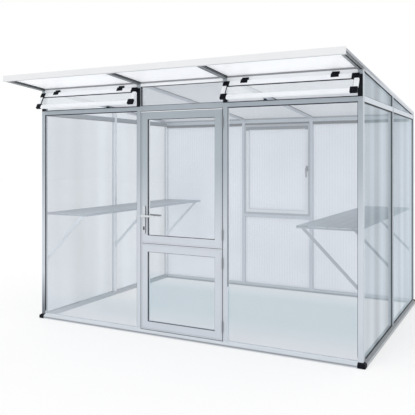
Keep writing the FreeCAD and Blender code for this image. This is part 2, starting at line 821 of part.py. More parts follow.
def doors():
    cuts, lock_pieces, lever, latch, keep = door_lock_parts()
    tie, guides, tie_keep = tie_bolt_parts()
    lower_bottom = base_height + door_foot_gap
    upper_bottom = door_split + door_split_gap
    upper_top = transom_low - door_foot_gap
    hinge_x = door_edge - door_gap / 2
    hinge_y = front_face - hinge_offset

    sides, faces = (-leaf_x, leaf_x), (leaf_front, leaf_back)
    bars, sheet, gasket = leaf(sides, (upper_bottom, upper_top), door_bar, faces, -1, glass)
    bars[0] = bars[0].cut(cuts)
    heights = [upper_bottom + hinge_from_end, upper_top - hinge_from_end - hinge_height]
    fixed_upper, moving_upper = placed_hinges(heights, hinge_x, hinge_y, False)
    save("door_upper_frame", bars)
    save("door_upper_glass", [sheet])
    save("door_upper_gasket", [gasket])
    save("door_upper_hinges", moving_upper)
    save("door_lock", lock_pieces + tie_keep)
    save("door_lever", [lever])
    save("latch_bolt", [latch])
    save("latch_keep", [keep])

    bars, sheet, gasket = leaf(sides, (lower_bottom, door_split), door_bar, faces, -1, glass)
    heights = [lower_bottom + hinge_from_end, door_split - hinge_from_end - hinge_height]
    fixed_lower, moving_lower = placed_hinges(heights, hinge_x, hinge_y, False)
    save("door_lower_frame", bars)
    save("door_lower_glass", [sheet])
    save("door_lower_gasket", [gasket])
    save("door_lower_hinges", moving_lower)
    save("tie_bolt_guides", guides)
    save("tie_bolt", [tie])
    return fixed_upper + fixed_lower


def window():
    x1 = door_edge - window_gap
    z0 = sill_rail_high + window_gap
    z1 = eave_low - window_gap
    y1 = back_y + half_bar
    y0 = y1 - door_depth
    bars, sheet, gasket = leaf((-x1, x1), (z0, z1), window_bar, (y0, y1), 1, wall_sheet)
    heights = [z0 + hinge_from_end, z1 - hinge_from_end - hinge_height]
    fixed, moving = placed_hinges(heights, window_gap / 2 - door_edge, y1 + hinge_offset, True)
    save("window_frame", bars)
    save("window_sheet", [sheet])
    save("window_gasket", [gasket])
    save("window_hinges", moving)

    x = x1 - window_bar / 2
    half = handle_base_height / 2
    base_y = y0 - handle_base_thick
    low, high = window_handle_height - half, window_handle_height + half
    base = cut_corner_plate(x, low, high, base_y, y0, handle_base_width, handle_base_width / 4)
    grip_y = base_y - handle_neck_length
    line = Vector(x, grip_y, window_handle_height), Vector(x, y0 - 2, window_handle_height)
    save("window_handle_base", [base.cut(rod(handle_neck_radius + neck_play, *line))])
    blade = lever_blade(x, window_handle_height, grip_y - handle_thick, grip_y, 0, -handle_length,
                        lever_root_radius, handle_tip_radius)
    handle = blade.fuse(rod(handle_neck_radius, *line)).removeSplitter()
    save("window_handle", [handle])
    return fixed


def opening_stops():
    """Strips inside the door and window openings that the leaves close against."""
    inner, outer = door_edge - stop_reach, door_edge + stop_hold
    low, high = base_height, transom_low
    y0, y1 = half_bar, half_bar + stop_thick
    strips = both_sides([block((inner, y0, low), (outer, y1, high + stop_hold))])
    strips.append(block((-inner, y0, high - stop_reach), (inner, y1, high + stop_hold)))
    low, high = sill_rail_high, eave_low
    y0, y1 = back_y - half_bar - stop_thick, back_y - half_bar
    strips += both_sides([block((inner, y0, low - stop_hold), (outer, y1, high + stop_hold))])
    for z0, z1 in ((low - stop_hold, low + stop_reach), (high - stop_reach, high + stop_hold)):
        strips.append(block((-inner, y0, z0), (inner, y1, z1)))
    save("opening_stops", strips)


vent_back = front_face - vent_clear
vent_front = vent_back - vent_depth
vent_pivot = Vector(0, front_face - vent_pivot_out, vent_high + vent_pivot_above)
stay_x = door_post_x + stay_from_post
clip_places = (door_post_x + clip_from_end, post_x - clip_from_end)


def opened(shape):
    """Turn a vent piece from its closed place to the open place it has at rest."""
    shape = shape.copy()
    shape.rotate(vent_pivot, Vector(1, 0, 0), -vent_open)
    return shape


def vent_hinge_clip(x):
    """Black clip hinge: the fixed half on the header, the moving half over the sash."""
    third = clip_width / 3
    x0 = x - clip_width / 2
    y, z = vent_pivot.y, vent_pivot.z
    half = clip_knuckle
    face = front_face - clip_plate
    points = octagon(half, clip_knuckle_corner)
    middle = prism([Vector(x0 + third, y + a, z + b) for a, b in points], Vector(third, 0, 0))
    plate = block((x0, face, z - half / 2), (x0 + clip_width, front_face, z + clip_plate_height))
    arm = block((x0 + third, y, z), (x0 + 2 * third, face + 1, z + half))
    fixed = plate.fuse([middle, arm]).removeSplitter()
    line = (Vector(x0 + 1, y, z), Vector(x0 + clip_width - 1, y, z))
    fixed = fixed.cut(rod(clip_pin_radius + pin_play, *line))

    front = vent_front - clip_plate
    side = [(front, vent_high), (front, z), (y - half / 2, z + half / 2), (y + half / 2, z + half / 2)]
    side += [(y + half / 2, z - half / 2), (y, vent_high)]
    pieces = [rod(clip_pin_radius, *line)]
    for a, b in ((0, third - knuckle_gap), (2 * third + knuckle_gap, clip_width)):
        pieces.append(prism([Vector(x0 + a, v, w) for v, w in side], Vector(b - a, 0, 0)))
    cover = block((x0, front, vent_high - clip_cover), (x0 + clip_width, vent_front, vent_high))
    return fixed, cover.fuse(pieces).removeSplitter()


def vent_stay():
    """Flat bar with holes, pinned to the sash, that lies over its rest on the transom."""
    y, z = front_face + stay_pivot_in - vent_clear, transom_high + stay_pivot_above
    half = stay_width / 2
    low, high = z - stay_ear_rise, z + stay_ear_rise
    reach = half + stay_ear_gap + stay_ear
    ears = []
    for side in (-1, 1):
        a, b = sorted((side * (reach - stay_ear), side * reach))
        ears.append(block((stay_x + a, vent_back, low), (stay_x + b, y + stay_ear_tail, high)))
    pin = rod(stay_pin_radius, Vector(stay_x - reach, y, z), Vector(stay_x + reach, y, z))
    bracket = ears[0].fuse([ears[1], pin]).removeSplitter()

    pivot = opened(Part.Vertex(Vector(stay_x, y, z))).Point
    left, right = stay_x - half, stay_x + half
    arm = block((left, 0, -stay_thick / 2), (right, stay_length, stay_thick / 2))
    points = octagon(stay_thick, stay_eye_corner)
    arm = arm.fuse(prism([Vector(left, a, b) for a, b in points], Vector(stay_width, 0, 0)))
    line = Vector(stay_x - reach, 0, 0), Vector(stay_x + reach, 0, 0)
    holes = [rod(stay_pin_radius + pin_play, *line)]
    side = stay_slot / 2
    x0, x1 = stay_x - side, stay_x + side
    for k in range(stay_slots):
        place = stay_length - stay_width - k * stay_slot_pitch
        holes.append(block((x0, place - side, -stay_thick), (x1, place + side, stay_thick)))
    arm = arm.cut(holes).removeSplitter()
    arm.rotate(Vector(0, 0, 0), Vector(1, 0, 0), -stay_tilt)
    arm.translate(Vector(0, pivot.y, pivot.z))

    tilt = math.tan(math.radians(stay_tilt))
    under = stay_thick / 2 / math.cos(math.radians(stay_tilt)) + rest_gap
    x0, y0, y1 = stay_x - rest_width / 2, -rest_length / 2, rest_length / 2
    points = [Vector(x0, y0, transom_high), Vector(x0, y1, transom_high)]
    for y_end in (y1, y0):
        points.append(Vector(x0, y_end, pivot.z - (y_end - pivot.y) * tilt - under))
    rest = prism(points, Vector(rest_width, 0, 0))
    return opened(bracket), arm, rest


def vents():
    x0, x1 = door_post_x, post_x
    pane_y = vent_back - vent_pane_cover - glass / 2
    edge_x, edge_z = vent_corner_width, vent_corner_height
    opening = rectangle(x0 + vent_bar, x1 - vent_bar, vent_low + vent_bar, vent_high - vent_top_bar)
    sheet = pane(offset_polygon(opening, bite), "y", pane_y, glass)
    seat = vent_front + gasket_inset, pane_y - glass / 2
    lining = pane(opening, "y", sum(seat) / 2, seat[1] - seat[0])
    lining = lining.cut(pane(offset_polygon(opening, -gasket_lip), "y", vent_front, 4 * vent_depth))
    inner = vent_wall, vent_bar - bite - vent_wall
    bars = []
    for z, sign, tall in ((vent_low, 1, vent_bar), (vent_high, -1, vent_top_bar)):
        rail = rectangle(vent_front, vent_back, *sorted((z, z + sign * tall)))
        room = sorted((z + sign * vent_wall, z + sign * (tall - bite - vent_wall)))
        hollow = rectangle(vent_front + vent_wall, vent_back - vent_wall, *room)
        bars.append(extrusion("x", x0 + edge_x, x1 - edge_x, rail, hollow, (0, 0)))
    stile = rectangle(0, vent_bar, vent_front, vent_back)
    for x, room in ((x0, inner), (x1 - vent_bar, (vent_bar - inner[1], vent_bar - inner[0]))):
        hollow = rectangle(*room, vent_front + vent_wall, vent_back - vent_wall)
        bars.append(extrusion("z", vent_low + edge_z, vent_high - edge_z, stile, hollow, (x, 0)))
    bars = [piece.cut(sheet) for piece in bars]
    corners = []
    for cx0, cx1 in ((x0, x0 + edge_x), (x1 - edge_x, x1)):
        for cz0, cz1 in ((vent_low, vent_low + edge_z), (vent_high - edge_z, vent_high)):
            corner = block((cx0, vent_front - vent_corner_proud, cz0), (cx1, vent_back, cz1))
            rim = [edge for edge in corner.Edges if edge.BoundBox.YMax < vent_front]
            corners.append(corner.makeChamfer(vent_corner_proud / 2, rim).cut([sheet, lining]))
    clips = [vent_hinge_clip(x) for x in clip_places]
    bracket, arm, rest = vent_stay()

    outer = rectangle(door_edge + seal_edge, half_width - seal_edge, transom_high - seal_overlap,
                      bay_header_low + seal_overlap)
    seal = pane(outer, "y", front_face - seal_thick / 2, seal_thick)
    seal = seal.cut(pane(rectangle(bay_inner, bay_outer, transom_high, bay_header_low), "y",
                         front_face - seal_thick / 2, seal_thick))
    sashes = {
        "frame": [opened(piece) for piece in bars] + [bracket],
        "glass": [opened(sheet)],
        "gasket": [opened(lining)],
        "corners": [opened(piece) for piece in corners] + [opened(moving) for fixed, moving in clips],
        "stay": [arm],
    }
    for name, pieces in sashes.items():
        save("vent_right_" + name, pieces)
        save("vent_left_" + name, [mirrored(piece) for piece in pieces])
    save("vent_seals", both_sides([seal]))
    save("vent_hinge_bases", both_sides([fixed for fixed, moving in clips]))
    save("stay_rests", both_sides([rest]))


def shelf_section():
    """Folded tray across its width: deck with pressed ribs, edges turned down and in."""
    outer, inner = bay_outer, bay_outer - shelf_width
    top, wall = shelf_height, shelf_wall
    low = top - shelf_edge
    upper = [(inner, top)]
    pitch = shelf_width / shelf_ribs
    half, slant = shelf_rib_width / 2, shelf_rib_width / 4
    dips = []
    for k in range(shelf_ribs):
        centre = inner + pitch * (k + 0.5)
        dip = [(centre - half, 0), (centre - slant, -shelf_rib)]
        dips.append(dip + [(centre + slant, -shelf_rib), (centre + half, 0)])
    for dip in dips:
        upper += [(x, top + drop) for x, drop in dip]
    upper += [(outer, top), (outer, low), (outer - shelf_return, low), (outer - shelf_return, low + wall)]
    upper += [(outer - wall, low + wall), (outer - wall, top - wall)]
    for dip in reversed(dips):
        upper += [(x, top - wall + drop) for x, drop in reversed(dip)]
    upper += [(inner + wall, top - wall), (inner + wall, low + wall), (inner + shelf_lip, low + wall)]
    upper += [(inner + shelf_lip, low), (inner, low)]
    return upper


def shelves():
    start, end = shelf_clear, back_y - shelf_clear
    shelf = extrusion("y", start, end, shelf_section(), None, (0, 0))
    inner, top_z = bay_outer - shelf_width, shelf_height - shelf_edge
    high = shelf_height - shelf_rib - shelf_wall
    ends = [block((inner, y, top_z), (bay_outer, y + shelf_wall, high)) for y in (start, end - shelf_wall)]
    save("shelves", both_sides([shelf.fuse(ends).removeSplitter()]))

    run = top_z - brace_foot
    foot_x = bay_outer - foot_plate
    top_x = foot_x - run
    thick = brace_depth * math.sqrt(2)
    shift = brace_wall * math.sqrt(2)
    line = [(top_x, top_z), (top_x + thick, top_z), (foot_x, brace_foot + thick), (foot_x, brace_foot)]
    moves = shift, thick, thick, shift
    inside = [(x + move, z + move) for (x, z), move in zip(line, moves)]
    low = brace_foot - (foot_plate_height - thick) / 2
    braces, plates = [], []
    for y0 in (shelf_clear, middle_y - brace_width / 2, back_y - shelf_clear - brace_width):
        body = prism([Vector(x, y0, z) for x, z in line], Vector(0, brace_width, 0))
        room = prism([Vector(x, y0 + brace_wall, z) for x, z in inside], Vector(0, brace_width, 0))
        braces.append(body.cut(room))
        plates.append(block((foot_x, y0, low), (bay_outer, y0 + brace_width, low + foot_plate_height)))
    save("shelf_braces", both_sides(braces + plates))


os.makedirs("parts", exist_ok=True)
base_rails()
base_corner_blocks()
posts()
rails()
back_rails()
roof_frame()
roof_cover()
roof_seals()
panes()
door_fixed_hinges = doors()
window_fixed_hinges = window()
save("hinge_frame_halves", door_fixed_hinges + window_fixed_hinges)
opening_stops()
vents()
shelves()
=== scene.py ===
import json
import math

import bpy
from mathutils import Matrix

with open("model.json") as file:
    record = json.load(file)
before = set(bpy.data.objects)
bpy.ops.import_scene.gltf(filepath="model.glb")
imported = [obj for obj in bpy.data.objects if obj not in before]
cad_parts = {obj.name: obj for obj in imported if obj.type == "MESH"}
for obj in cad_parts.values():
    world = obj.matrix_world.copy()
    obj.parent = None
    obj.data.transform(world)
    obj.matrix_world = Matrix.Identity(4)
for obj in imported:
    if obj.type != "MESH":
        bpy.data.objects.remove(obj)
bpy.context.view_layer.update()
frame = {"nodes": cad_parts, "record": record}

# Pitch of the walls inside the twin-wall sheets, in metres
rib_pitch = 0.032
# Length of Blender's wave bands at a scale of 1
wave_length = 2 * math.pi / 20
# Fine grain of the metal and plastic: its noise scale, its height in metres
grain_scale = 600.0
grain_height = 0.0004
# How far the roughness of a finish goes up and down, and how much finer that is than its colour
roughness_swing = 0.04
roughness_finer = 8
# The part of a noise that a colour ramp spreads over
ramp_low, ramp_high = 0.35, 0.65
# Sockets of a Mix node set to colours, which share their names with others
mix_share, mix_under, mix_over, mix_result = 0, 6, 7, 2
# Strength of the white that the camera sees in the floor, and of the sky on and behind the object
floor_white_share = 0.55
sky_on_object, sky_seen = 0.95, 1


# Building blocks of the materials

def new_tree(name):
    made = bpy.data.materials.new(name)
    made.use_nodes = True
    return made, made.node_tree


def feed(tree, value, socket):
    """Give a socket a number, or the output of another node."""
    if isinstance(value, (int, float)):
        socket.default_value = value
    else:
        tree.links.new(value, socket)


def calculated(tree, operation, first, second=None, clamped=False):
    made = tree.nodes.new("ShaderNodeMath")
    made.operation = operation
    made.use_clamp = clamped
    feed(tree, first, made.inputs[0])
    if second is not None:
        feed(tree, second, made.inputs[1])
    return made.outputs["Value"]


def scaled(tree, colour, factor):
    made = tree.nodes.new("ShaderNodeVectorMath")
    made.operation = "SCALE"
    feed(tree, colour, made.inputs[0])
    feed(tree, factor, made.inputs["Scale"])
    return made.outputs["Vector"]


def map_range(tree, fac, from_low, from_high, to_low=0, to_high=1):
    made = tree.nodes.new("ShaderNodeMapRange")
    made.inputs["From Min"].default_value = from_low
    made.inputs["From Max"].default_value = from_high
    made.inputs["To Min"].default_value = to_low
    made.inputs["To Max"].default_value = to_high
    feed(tree, fac, made.inputs["Value"])
    return made.outputs["Result"]


def noise(tree, vector, scale, detail=3.0):
    made = tree.nodes.new("ShaderNodeTexNoise")
    made.inputs["Scale"].default_value = scale
    made.inputs["Detail"].default_value = detail
    feed(tree, vector, made.inputs["Vector"])
    return made.outputs["Fac"]


def ramp_between(tree, fac, low, high):
    made = tree.nodes.new("ShaderNodeValToRGB")
    start, end = made.color_ramp.elements
    start.position, end.position = ramp_low, ramp_high
    start.color, end.color = (*low, 1), (*high, 1)
    feed(tree, fac, made.inputs["Fac"])
    return made.outputs["Color"]


def wavering(colour, spread):
    """A little darker and a little paler than a colour."""
    return [c * (1 - spread) for c in colour], [min(1.0, c * (1 + spread)) for c in colour]


def mixed(tree, share, under, over):
    """One shader laid over another."""
    made = tree.nodes.new("ShaderNodeMixShader")
    feed(tree, share, made.inputs["Fac"])
    feed(tree, under, made.inputs[1])
    feed(tree, over, made.inputs[2])
    return made.outputs["Shader"]


def show(tree, shader):
    feed(tree, shader, tree.nodes["Material Output"].inputs["Surface"])


def seen_rays(tree):
    """1 for what the camera sees, straight, mirrored or through glass, and 0 for other light."""
    path = tree.nodes.new("ShaderNodeLightPath")
    straight = calculated(tree, "ADD", path.outputs["Is Camera Ray"], path.outputs["Is Glossy Ray"])
    return calculated(tree, "ADD", straight, path.outputs["Is Transmission Ray"], clamped=True)


def shaded(tree, coords, colour, shades):
    """Lay further colours over a colour, each in the zones that it names, as listed below. Most of
    these colours are painted light and shade, laid by place and by the way a face looks.
    """
    place = tree.nodes.new("ShaderNodeSeparateXYZ")
    facing = tree.nodes.new("ShaderNodeSeparateXYZ")
    feed(tree, coords.outputs["Object"], place.inputs["Vector"])
    feed(tree, coords.outputs["Normal"], facing.inputs["Vector"])
    measures = {
        "off_middle": calculated(tree, "ABSOLUTE", place.outputs["X"]),
        "faces_side": calculated(tree, "ABSOLUTE", facing.outputs["X"]),
    }
    for axis in "XYZ":
        measures["at_" + axis.lower()] = place.outputs[axis]
        measures["faces_" + axis.lower()] = facing.outputs[axis]
    for other, zones in shades:
        share = None
        for measure, start, full in zones:
            step = map_range(tree, measures[measure], start, full)
            share = step if share is None else calculated(tree, "MULTIPLY", share, step)
        mix = tree.nodes.new("ShaderNodeMix")
        mix.data_type = "RGBA"
        mix.inputs[mix_over].default_value = (*other, 1)
        feed(tree, share, mix.inputs[mix_share])
        feed(tree, colour, mix.inputs[mix_under])
        colour = mix.outputs[mix_result]
    return colour


# Finishes

def material(name, colour, roughness, metallic=0.0, spread=0.03, scale=3.0, bump=0.0, glow=0.0,
             shades=(), gloss=0.5):
    """Finish whose colour and gloss waver a little, with a fine grain. Its glow, where one is
    given, is painted light.
    """
    made, tree = new_tree(name)
    shader = tree.nodes["Principled BSDF"]
    shader.inputs["Metallic"].default_value = metallic
    shader.inputs["Specular IOR Level"].default_value = gloss
    coords = tree.nodes.new("ShaderNodeTexCoord")
    place = coords.outputs["Object"]
    colours = ramp_between(tree, noise(tree, place, scale), *wavering(colour, spread))
    if shades:
        colours = shaded(tree, coords, colours, shades)
    feed(tree, colours, shader.inputs["Base Color"])
    fine = noise(tree, place, roughness_finer * scale)
    dull = map_range(tree, fine, 0.3, 0.7, roughness - roughness_swing, roughness + roughness_swing)
    feed(tree, dull, shader.inputs["Roughness"])
    if bump:
        lift = tree.nodes.new("ShaderNodeBump")
        lift.inputs["Strength"].default_value = bump
        lift.inputs["Distance"].default_value = grain_height
        feed(tree, noise(tree, place, grain_scale, 2.0), lift.inputs["Height"])
        feed(tree, lift.outputs["Normal"], shader.inputs["Normal"])
    # The glow is painted light: the finish shines though it is no lamp
    if glow:
        feed(tree, colours, shader.inputs["Emission Color"])
        shader.inputs["Emission Strength"].default_value = glow
    return made


def bar_metal(name, colour, shades=()):
    return material(name, colour, roughness=0.42, metallic=0.4, spread=0.02, bump=0.04,
                    shades=shades)


def coated_metal(name, colour, shades):
    return material(name, colour, roughness=0.5, metallic=0.2, spread=0.04, scale=12.0,
                    bump=0.05, shades=shades)


def soft_black(name, shades=()):
    return material(name, black, roughness=0.7, spread=0.1, bump=0.1, shades=shades, gloss=0.15)


def hard_black(name, shades=()):
    return material(name, deep_black, roughness=0.6, spread=0.1, bump=0.1, shades=shades,
                    gloss=0.12)


def twin_wall(name, colour, contrast, glow, through_share, under_glow=None):
    """Opal twin-wall sheet: inner walls show as fine stripes, and light comes through it. It also
    glows, painted light for the daylight through it, and where under_glow is given the underside of
    the overhang glows more, painted light from the ground.
    """
    made, tree = new_tree(name)
    shader = tree.nodes["Principled BSDF"]
    shader.inputs["Roughness"].default_value = 0.4
    coords = tree.nodes.new("ShaderNodeTexCoord")
    place = coords.outputs["Object"]
    darker = [c * 0.985 for c in colour]
    colours = ramp_between(tree, noise(tree, place, 1.5), darker, colour)
    wave = tree.nodes.new("ShaderNodeTexWave")
    wave.wave_type = "BANDS"
    wave.bands_direction = "X"
    wave.inputs["Scale"].default_value = wave_length / rib_pitch
    feed(tree, place, wave.inputs["Vector"])
    lit = scaled(tree, colours, map_range(tree, wave.outputs["Fac"], 0, 1, 1 - contrast, 1))
    through = tree.nodes.new("ShaderNodeBsdfTranslucent")
    feed(tree, lit, shader.inputs["Base Color"])
    feed(tree, lit, through.inputs["Color"])
    # Painted light: the underside of the overhang glows brighter than the rest
    if under_glow:
        dim = scaled(tree, lit, glow / under_glow)
        lit = shaded(tree, coords, dim, [(colour, [overhang, facing_down])])
    # The glow is painted light
    feed(tree, lit, shader.inputs["Emission Color"])
    shader.inputs["Emission Strength"].default_value = under_glow or glow
    show(tree, mixed(tree, through_share, shader.outputs["BSDF"], through.outputs["BSDF"]))
    return made


def glass_material(name, clear_colour, veil, veil_share, low_angle_share, shades=(), tints=(),
                   streak_spread=0.03):
    """Thin clear glass: light goes straight through, with a pale veil that grows at low angles. The
    veil is a glow, a painted reflection, and the zones in shades and tints paint light onto the
    glass.
    """
    made, tree = new_tree(name)
    tree.nodes.remove(tree.nodes["Principled BSDF"])
    clear = tree.nodes.new("ShaderNodeBsdfTransparent")
    clear.inputs["Color"].default_value = (*clear_colour, 1)
    mirror = tree.nodes.new("ShaderNodeBsdfGlossy")
    mirror.inputs["Roughness"].default_value = 0.02
    slant = tree.nodes.new("ShaderNodeFresnel")
    slant.inputs["IOR"].default_value = 1.45
    coords = tree.nodes.new("ShaderNodeTexCoord")
    place = coords.outputs["Object"]
    if tints:
        cloud = ramp_between(tree, noise(tree, place, 2.0), *wavering(clear_colour, 0.01))
        feed(tree, shaded(tree, coords, cloud, tints), clear.inputs["Color"])
    upright = tree.nodes.new("ShaderNodeMapping")
    upright.inputs["Scale"].default_value = (1, 1, 0.05)
    feed(tree, place, upright.inputs["Vector"])
    streaks = noise(tree, upright.outputs["Vector"], 2.5, 1.0)
    colours = ramp_between(tree, streaks, *wavering(veil, streak_spread))
    if shades:
        colours = shaded(tree, coords, colours, shades)
    # The veil glows: painted reflection on the glass
    glow = tree.nodes.new("ShaderNodeEmission")
    feed(tree, colours, glow.inputs["Color"])
    share = map_range(tree, slant.outputs["Fac"], 0, 0.5, veil_share, low_angle_share)
    veiled = mixed(tree, share, clear.outputs["BSDF"], glow.outputs["Emission"])
    show(tree, mixed(tree, 0.03, veiled, mirror.outputs["BSDF"]))
    return made


# Colours that several pieces share

black = (0.008, 0.010, 0.014)
deep_black = (0.003, 0.004, 0.008)
# Painted shade on the right side and edge of the lock plate
lock_painted_shade = (0.02, 0.02, 0.03)
bar_grey = (0.58, 0.62, 0.675)
# Painted shade that darkens the bars towards the roof
bar_painted_shade = (0.40, 0.445, 0.49)
# Painted light on faces behind the glass and towards the room
painted_light_grey = (0.90, 0.92, 0.94)
# Painted light: the pale cyan of the lit floor seen through the panes, laid on the glass
floor_cyan = (0.53, 0.68, 0.745)
painted_floor_tint = (0.86, 0.89, 0.91)

# Zones, each a measure, where its shade starts and where it is full. at_x, at_y and at_z are
# places in metres from the middle of the front wall at the ground, faces_x, faces_y and faces_z
# say which way a face looks, and off_middle and faces_side are at_x and faces_x without a sign.

facing_right = ("faces_x", 0.3, 0.7)
facing_left = ("faces_x", -0.3, -0.7)
facing_side = ("faces_side", 0.3, 0.7)
fully_side = ("faces_side", 0.7, 0.9)
facing_front = ("faces_y", -0.3, -0.7)
not_facing_front = ("faces_y", -0.7, -0.3)
not_facing_back = ("faces_y", 0.7, 0.3)
facing_room = ("faces_y", 0.3, -0.3)
facing_up = ("faces_z", 0.7, 0.9)
facing_down = ("faces_z", -0.3, -0.7)
not_facing_up = ("faces_z", 0.5, 0.2)

up_the_wall = ("at_z", 0.9, 1.5)
far_in = ("at_y", 0.6, 1.1)
overhang = ("at_y", -0.01, -0.03)
before_glass = ("at_y", -0.010, -0.011)
behind_glass = ("at_y", -0.006, -0.004)

# Painted light on the clear panes: low down they are painted cyan for the lit floor seen through
# them, more so right of the left door post, and paler at their foot
low_right = [("at_z", 0.56, 0.43), ("at_x", -0.42, -0.40)]
low_left = [("at_z", 0.34, 0.14), ("at_x", -1.25, -0.8), ("at_x", -0.40, -0.42)]
foot_of_pane = [("at_z", 0.25, 0.06)]

# The inner edge of the right bay, seen as a dark line above the floor's line and a pale one below,
# a painted reflection of the floor
right_bay_edge = [("at_x", 0.43, 0.44), ("at_x", 0.48, 0.47), ("at_y", 0.5, 0.4)]

# Shades of each piece, later ones over earlier ones, mostly painted light and shade. Bars are
# painted darker towards the roof and paler inside the back, and their edges at the panes and at the
# door's gaps are painted black for the shade in the reveals and gaps.

bar_shades = [
    # Painted shade towards the roof and on faces looking right, painted light deep in the back and
    # on the inner faces of the left wall, painted shade on the outer faces of the right wall's
    # posts
    (bar_painted_shade, [up_the_wall]),
    ((0.56, 0.61, 0.66), [facing_right]),
    ((0.68, 0.72, 0.78), [far_in]),
    ((0.97, 0.98, 1.0), [far_in, ("at_x", -1.45, -1.50), ("faces_x", -0.7, -0.3), not_facing_back]),
    ((0.38, 0.43, 0.48), [facing_right, far_in, ("at_x", 1.5, 1.55)]),
]
corner_shades = bar_shades + [
    # Painted shade at the foot of the front left corner post, and painted black shade in the reveal
    # before the glass
    ((0.17, 0.19, 0.22), [("at_z", 0.45, 0.1), ("at_x", -1.4, -1.45), ("at_y", 0.03, 0.02)]),
    (black, [not_facing_front, before_glass, ("off_middle", 1.54, 1.53)]),
]
door_post_shades = bar_shades + [
    # Painted light on the side faces behind the glass, and painted black shade in the reveal before
    # the glass
    (painted_light_grey, [facing_side, behind_glass]),
    (black, [not_facing_front, before_glass, ("off_middle", 0.415, 0.410)]),
]
transom_shades = [
    # Painted shade towards the roof, painted light on faces looking right, painted shade on the
    # inner faces of the side transoms and painted black shade in their reveals; the black along the
    # lower edge beside the door is the dark seal line under the transoms, made wider with painted
    # shade
    (bar_painted_shade, [up_the_wall]),
    ((0.64, 0.69, 0.75), [facing_right]),
    ((0.20, 0.25, 0.28), [("at_y", 0.03, 0.05), fully_side, ("off_middle", 1.53, 1.525)]),
    (black, [("faces_side", 0.7, 0.3), ("off_middle", 1.549, 1.551), ("at_y", 0.005, 0.010)]),
    (black, [("at_z", 1.974, 1.973), ("off_middle", 0.43, 0.44)]),
]
leaf_shades = [
    # Painted shade towards the roof, painted light on side faces behind the glass, a painted
    # highlight along the top edge, and painted black shade in the reveals and in the gap between
    # the two leaves
    ((0.395, 0.445, 0.485), [up_the_wall]),
    (painted_light_grey, [facing_side, behind_glass, ("off_middle", 0.38, 0.37)]),
    ((0.85, 0.87, 0.89), [("at_z", 1.958, 1.960)]),
    (black, [not_facing_front, before_glass]),
    (black, [not_facing_front, ("at_y", 0.012, 0.010), ("faces_side", 0.3, 0.1),
             ("at_z", 0.782, 0.785), ("at_z", 0.818, 0.815)]),
]
sill_shades = [
    # The faces that do not look up are painted a little darker, painted shade, with a dark band
    # across them, and the top under the door is painted black for the shade in the gap under the
    # door
    ((0.60, 0.63, 0.67), [not_facing_up, ("at_z", 0.03, 0.025)]),
    ((0.28, 0.30, 0.33), [not_facing_up, ("at_z", 0.006, 0.009), ("at_z", 0.020, 0.017)]),
    (black, [facing_up, ("at_y", -0.022, -0.020), ("at_y", 0.0, -0.002),
             ("off_middle", 0.410, 0.407)]),
]
side_sill_shades = [
    # Painted shade on the upper faces, and painted light on the outer face of the left sill
    ((0.22, 0.24, 0.26), [("faces_z", 0.2, 0.5), ("at_z", 0.02, 0.025)]),
    ((0.45, 0.49, 0.53), [facing_left, ("at_x", -1.5, -1.6)]),
]
eave_shades = [
    # Painted shade along the lower and the upper edge of the beam's faces towards the room
    ((0.06, 0.08, 0.095), [("at_z", 1.984, 1.978), facing_room]),
    ((0.30, 0.33, 0.36), [("at_z", 2.018, 2.022), facing_room]),
]
rafter_shades = [
    # Painted light on the rafters inside, and painted shade on their sides under the overhang
    ((0.62, 0.65, 0.70), [("at_y", 0.0, 0.1)]),
    ((0.10, 0.11, 0.12), [fully_side, ("at_y", 0.0, -0.02)]),
]
# Painted light: the verge caps get paler towards the back
verge_shades = [((0.68, 0.72, 0.76), [("at_y", 0.3, 1.0)])]
# Painted highlight on the side of the hinges that looks left
hinge_shades = [((0.85, 0.88, 0.92), [("faces_x", -0.05, -0.35)])]
window_shades = [
    # Painted light on the faces towards the room, with a painted shadow along the top
    (painted_light_grey, [facing_room]),
    ((0.18, 0.21, 0.23), [("at_z", 1.885, 1.895), facing_room]),
]
shelf_shades = [((0.27, 0.31, 0.35), [("off_middle", 1.1, 1.45)])]
brace_shades = [
    # Painted shade on the front faces of the right braces, and painted light on the faces that look
    # up
    ((0.38, 0.41, 0.45), [facing_front, ("at_x", 0.0, 0.1)]),
    ((0.92, 0.94, 0.96), [("faces_z", 0.3, 0.6)]),
]
lever_shades = [((0.10, 0.11, 0.12), [("at_y", 0.0, 0.02)])]
lock_shades = [
    # Painted shade on the plate's right side face and along its right edge, then the dark keyhole
    (lock_painted_shade, [facing_right]),
    (lock_painted_shade, [("at_x", -0.353, -0.352)]),
    ((0.05, 0.05, 0.06), [("at_z", 0.917, 0.919), ("at_z", 0.951, 0.949), facing_front,
                          ("at_x", -0.376, -0.374), ("at_x", -0.358, -0.360)]),
]
wall_gasket_shades = [
    # Greyer at the right bay's inner edge above the floor's line; a painted reflection of the floor
    # makes it pale below that and at the foot of the front; painted light makes the gaskets deep in
    # the back paler
    ((0.20, 0.22, 0.24), right_bay_edge),
    ((0.85, 0.88, 0.90), right_bay_edge + [("at_z", 0.50, 0.49)]),
    ((0.80, 0.82, 0.84), [("at_z", 0.08, 0.06), ("at_y", 0.1, 0.0)]),
    ((0.62, 0.65, 0.69), [("at_y", 0.5, 0.6), ("at_x", 1.54, 1.53)]),
]
low_gasket_shades = [((0.16, 0.17, 0.19), [("at_z", 0.14, 0.12)])]
roof_seal_shades = [((0.30, 0.31, 0.33), [("at_y", -0.025, -0.023), ("at_y", -0.018, -0.02)])]
# Painted light: the stops deep in the back are greyer
stop_shades = [((0.50, 0.53, 0.57), [("at_y", 1.0, 1.2)])]
# Painted light: the cyan of the lit floor seen through the panes, and paler at their foot
glass_shades = [
    (floor_cyan, low_right),
    (floor_cyan, low_left),
    ((0.64, 0.70, 0.76), foot_of_pane),
]
glass_tints = [
    (painted_floor_tint, low_right),
    (painted_floor_tint, low_left),
    ((0.93, 0.935, 0.95), foot_of_pane),
]

